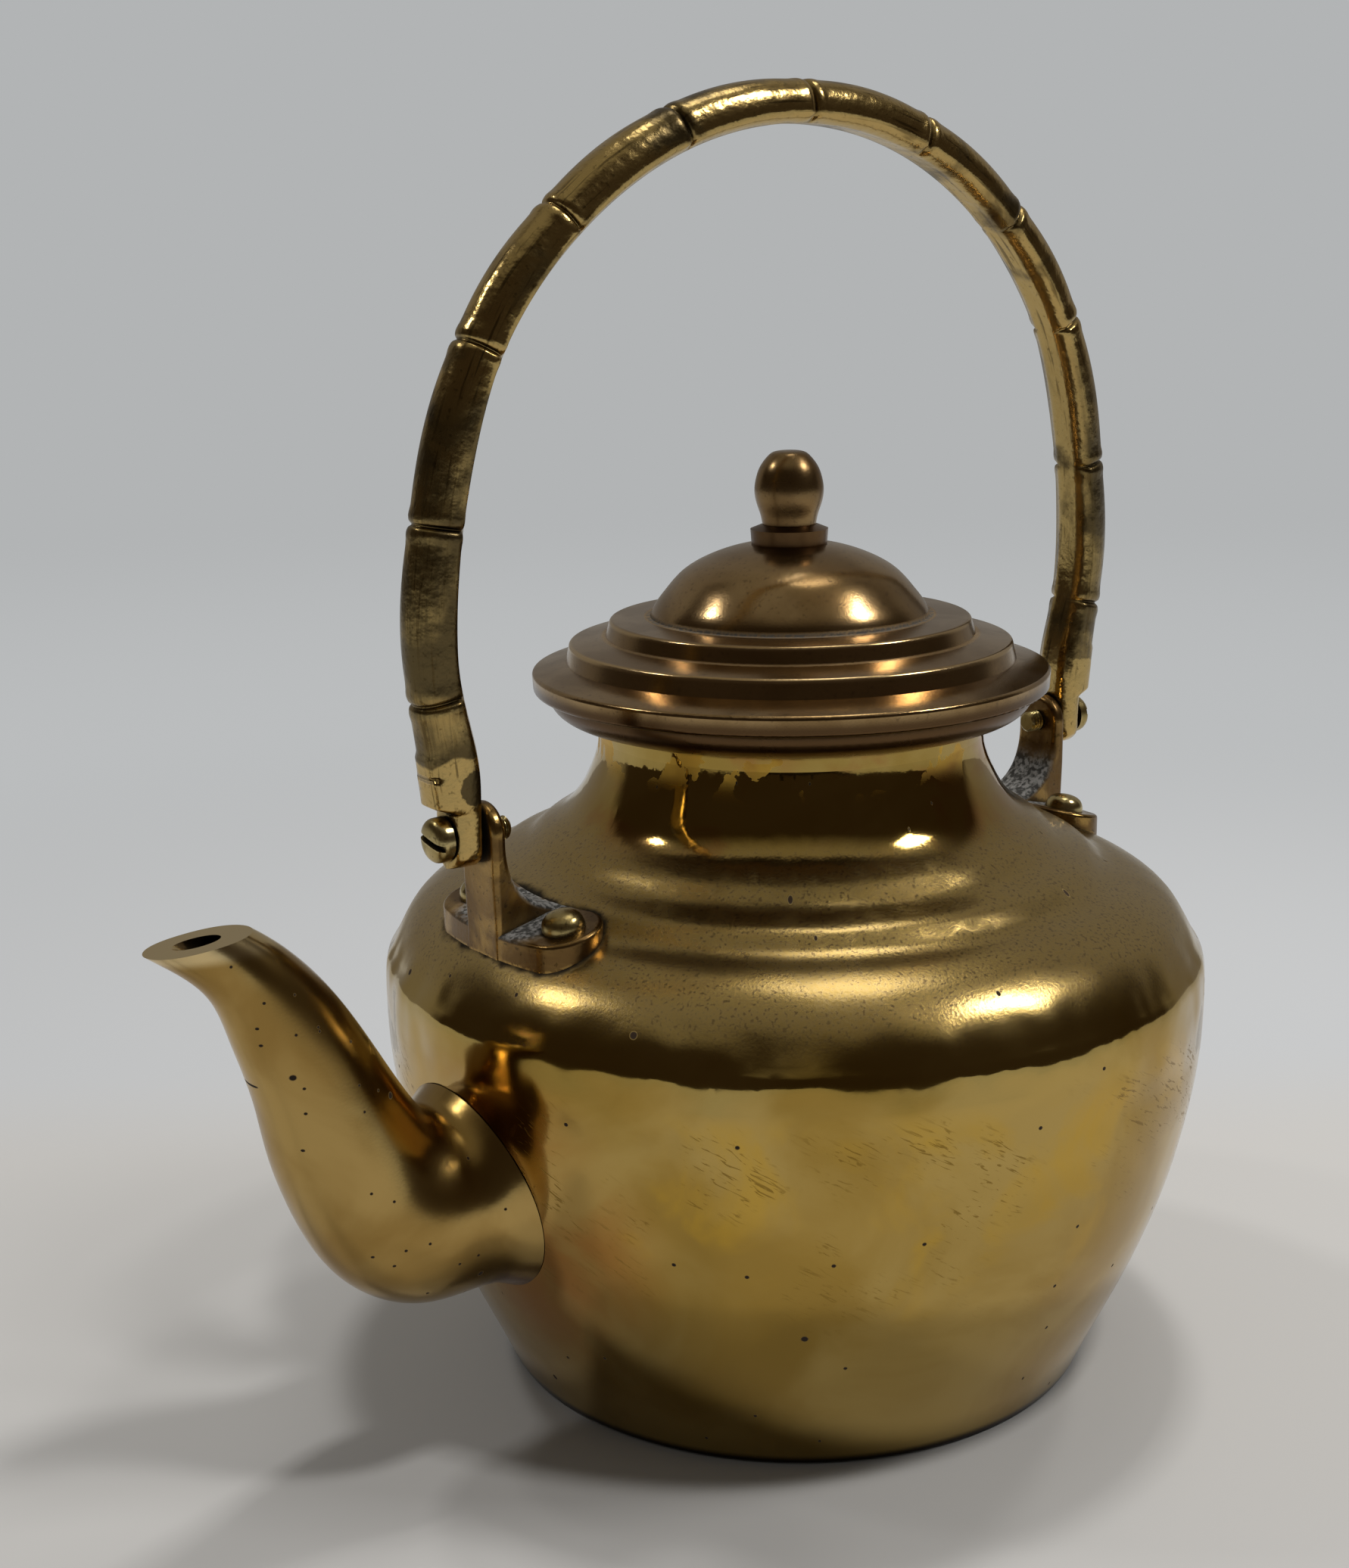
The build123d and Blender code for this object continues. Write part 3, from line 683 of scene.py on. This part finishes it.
# The lacquer gives a dark olive brown sheen, drawn out along the bail by the file marks
# beneath it, and the worn brass a soft gold
on_leg_end = (0.1325, 0.1315)
wear_ragged = 0.02
above_dark_node = (0.168, 0.186)
past_crown = (0.238, 0.228)
dark_patch = (-0.0705, -0.0045, 0.118)
patch_ragged = 0.0012
lacquered_brass, tree = new_material("cast_lacquered_brass")
place = add(tree, "TexCoord", {}, out="Object")
height = add(tree, "SeparateXYZ", {0: place}, out="Z")
bail_place = add(tree, "TexCoord", {}, out="UV")
around = add(tree, "SeparateXYZ", {0: bail_place}, out="Y")
drawn_out = (1 / (12 * mm), 1 / (35 * mm), 1)
streak = add(tree, "VectorMath", {0: bail_place, 1: drawn_out}, operation="MULTIPLY")
streak = add(tree, "TexNoise", {"Vector": streak, "Scale": 1, "Detail": 4, "Distortion": 0.3})
cloud = add(
    tree, "TexNoise", {"Vector": place, "Scale": 1 / (14 * mm), "Detail": 5, "Distortion": 0.5}
)
speck = add(tree, "TexNoise", {"Vector": place, "Scale": 1 / (0.8 * mm), "Detail": 3})

# Worn through in clouds, at the legs' ends but for a patch, where it is held, and inside
rubbed = fade(tree, (cloud, 0.46, 0.66, 0.0, 0.75), (streak, 0.3, 0.6, 0.4, 1.0))
leg_height = add(tree, "Math", {0: cloud, 1: wear_ragged, 2: height}, operation="MULTIPLY_ADD")
patch = add(tree, "VectorMath", {0: place, 1: dark_patch}, out="Value", operation="DISTANCE")
patch = add(tree, "Math", {0: speck, 1: patch_ragged, 2: patch}, operation="MULTIPLY_ADD")
leg_wear = fade(tree, (leg_height, *on_leg_end), (patch, 0.0034, 0.0037))
held = fade(tree, (height, *above_dark_node), (height, *past_crown), (cloud, 0.36, 0.5, 0.0, 0.9))
one_edge = fade(tree, (around, 0.20, 0.17))
other_edge = fade(tree, (around, 0.97, 0.985))
inner = add(tree, "Math", {0: one_edge, 1: other_edge}, operation="MAXIMUM")
inner = fade(tree, inner, (cloud, 0.38, 0.52, 0.0, 0.8))
for wear in (leg_wear, held, inner):
    rubbed = add(tree, "Math", {0: rubbed, 1: wear}, operation="MAXIMUM")
hollow = add(tree, "AmbientOcclusion", {"Distance": 1.2 * mm}, out="AO", samples=4)

finish = {"colour": "#665739", "roughness": 0.3, "metal": 1.0}
finish = laid(tree, finish, rubbed, colour="#C2A567", roughness=0.2)
finish = laid(tree, finish, fade(tree, (streak, 0.56, 0.68, 0.0, 0.7)), colour="#574628")
finish = laid(tree, finish, fade(tree, (speck, 0.6, 0.72, 0.0, 0.5)), colour="#3E3118")
# Partly grime and partly painted shade: near black wherever occlusion is deep, in the knuckle
# grooves and at the screws' seats
finish = laid(tree, finish, fade(tree, (hollow, 0.8, 0.5)), colour="#1E170D", roughness=0.7)
skin = add(tree, "TexNoise", {"Vector": place, "Scale": 1 / (3.5 * mm), "Detail": 3})
normal = add(tree, "Bump", {"Height": skin, "Distance": 0.25 * mm})
normal = add(tree, "Bump", {"Height": speck, "Distance": 0.03 * mm, "Normal": normal})
finished(tree, finish, normal)
bail_mesh.materials.append(lacquered_brass)


# Lugs, rivets and screws
# The lugs are sand cast and filed, riveted to the shoulder, with powdery grey crust in
# their inner corners. The rivets and the slotted screws are turned brass.
crust_middle = (0.0615, 0.0045, 0.0955)


def handled_brass(name, dark, worn, corner, crusted=False):
    """Dull brass, rubbed bright on its edges, with grime and painted shade in its corners, crusted
    if it is a lug.
    """
    material, tree = new_material(name)
    place = add(tree, "TexCoord", {}, out="Object")
    cloud = add(
        tree, "TexNoise", {"Vector": place, "Scale": 1 / (11 * mm), "Detail": 5, "Distortion": 0.8}
    )
    speck = add(tree, "TexNoise", {"Vector": place, "Scale": 1 / (0.9 * mm), "Detail": 3})
    surface = add(tree, "NewGeometry", {}, out="Normal")
    softened = add(tree, "Bevel", {"Radius": 0.7 * mm}, samples=4)
    turn = add(tree, "VectorMath", {0: surface, 1: softened}, out="Value", operation="DOT_PRODUCT")
    edge = fade(tree, (turn, 0.985, 0.93), (speck, 0.35, 0.55))
    rubbed = fade(tree, (cloud, 0.45, 0.65, 0.0, 0.8))
    rubbed = add(tree, "Math", {0: rubbed, 1: edge}, operation="MAXIMUM")
    hollow = add(tree, "AmbientOcclusion", {"Distance": 1.8 * mm}, out="AO", samples=4)

    finish = {"colour": dark, "roughness": 0.32, "metal": 1.0}
    finish = laid(tree, finish, rubbed, colour=worn, roughness=0.2)
    finish = laid(tree, finish, fade(tree, (speck, 0.6, 0.72, 0.0, 0.6)), colour="#3E3118")
    if crusted:
        up = add(tree, "SeparateXYZ", {0: surface}, out="Z")
        gap = add(tree, "VectorMath", {0: place}, operation="ABSOLUTE")
        gap = add(tree, "VectorMath", {0: gap, 1: crust_middle}, out="Value", operation="DISTANCE")
        powder = fade(tree, (gap, 0.0105, 0.0065), (up, -0.1, 0.5), (cloud, 0.3, 0.42))
        grey = laid(tree, {"colour": "#302F2C"}, fade(tree, (speck, 0.4, 0.62)), colour="#716F6B")
        finish = laid(tree, finish, powder, colour=grey["colour"], roughness=0.9, metal=0.0)
    # Partly grime and partly painted shade: the corner colour lies wherever occlusion is deep, in
    # the lugs' inner corners and the screws' slots
    finish = laid(tree, finish, fade(tree, (hollow, 0.68, 0.42)), colour=corner, roughness=0.8)
    skin = add(tree, "TexNoise", {"Vector": place, "Scale": 1 / (1.6 * mm), "Detail": 3})
    normal = add(tree, "Bump", {"Height": skin, "Distance": 0.06 * mm})
    normal = add(tree, "Bump", {"Height": speck, "Distance": 0.02 * mm, "Normal": normal})
    finished(tree, finish, normal)
    return material


# Sand-cast brass gives a dull brown with worn edges, turned brass a paler, cleaner gold
lug_brass = handled_brass("cast_crusted_brass", "#765B36", "#AD8B50", "#37342E", crusted=True)
for node in ("lug_spout_side", "lug_far_side"):
    dress(node, lug_brass)
fastener_brass = handled_brass("turned_fastener_brass", "#A8935C", "#D0BC86", "#2A2115")
for node in ("lug_rivets", "rivet_burrs", "pivot_screws", "knob_washer", "knob_nut"):
    dress(node, fastener_brass)
